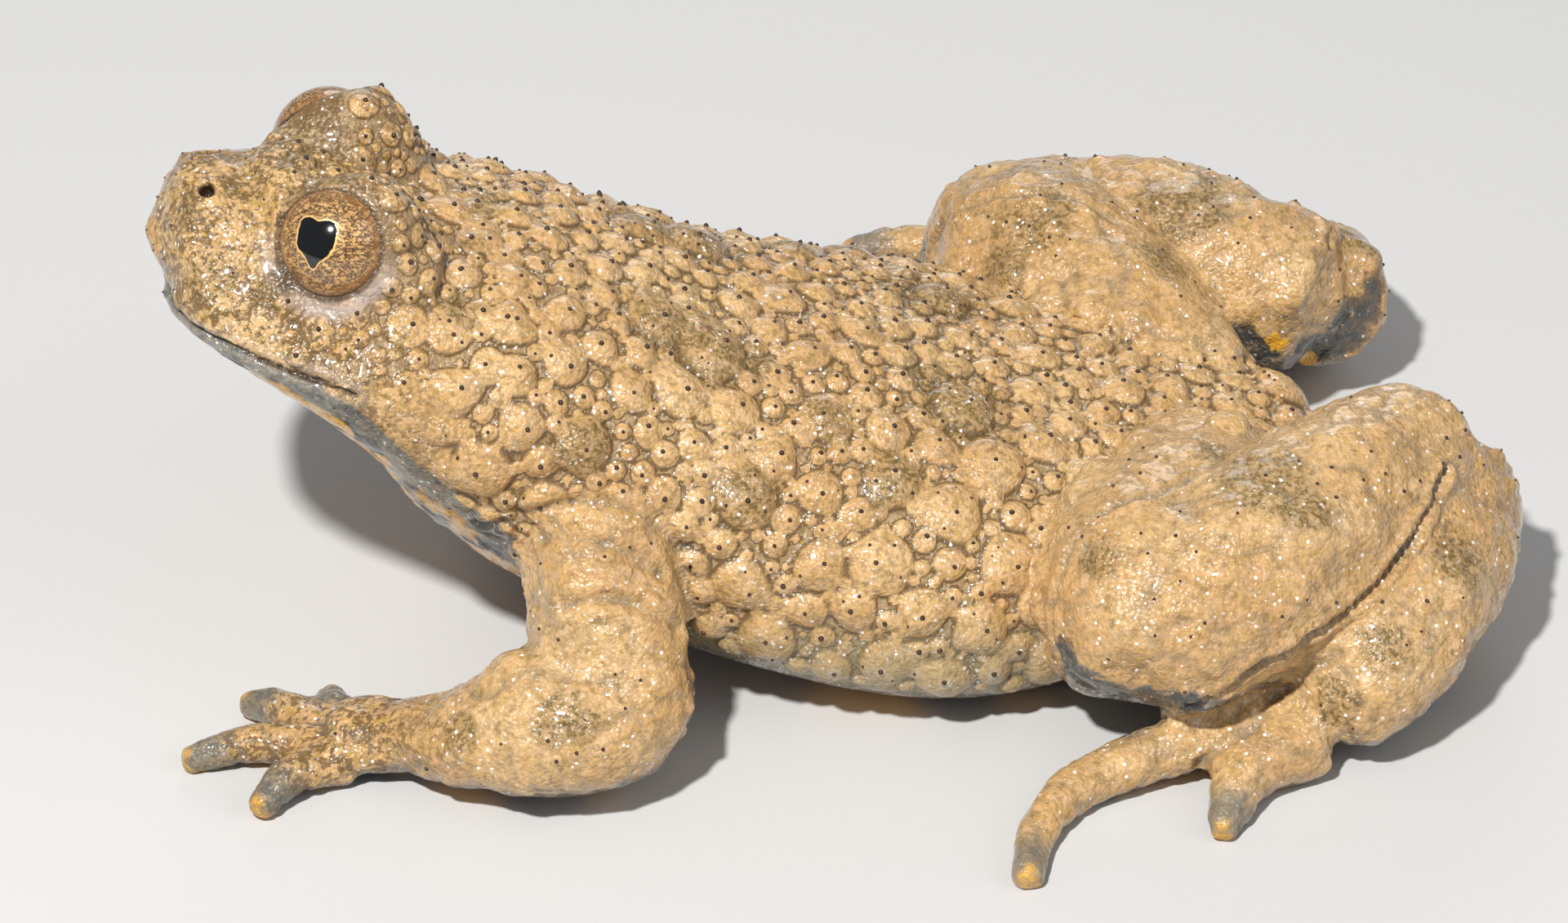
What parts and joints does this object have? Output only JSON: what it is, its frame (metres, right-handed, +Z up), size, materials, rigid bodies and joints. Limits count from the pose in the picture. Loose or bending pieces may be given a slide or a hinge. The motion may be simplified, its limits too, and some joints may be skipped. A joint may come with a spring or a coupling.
{
  "type": "yellow bellied toad",
  "caption": "Life-size still model of a warty fire bellied toad sitting with its head raised and its hind legs folded at its sides.",
  "frame": {"origin": "on the floor, under the middle of the toad's bounding box", "axes": "-X is the way the toad faces, +X towards its rump, +Y to its right side, +Z up from the floor"},
  "size_m": [0.0498, 0.0426, 0.0205],
  "materials": {
    "skin": "moist, warty",
    "eye": "gloss"
  },
  "bodies": {
    "root": {"head": "skin", "torso": "skin", "eye_left": "eye", "eye_right": "eye", "upper_arm_left": "skin", "upper_arm_right": "skin", "forearm_left": "skin", "forearm_right": "skin", "hand_left": "skin", "hand_right": "skin", "thigh_left": "skin", "thigh_right": "skin", "shank_left": "skin", "shank_right": "skin", "foot_left": "skin", "foot_right": "skin"}
  },
  "joints": []
}
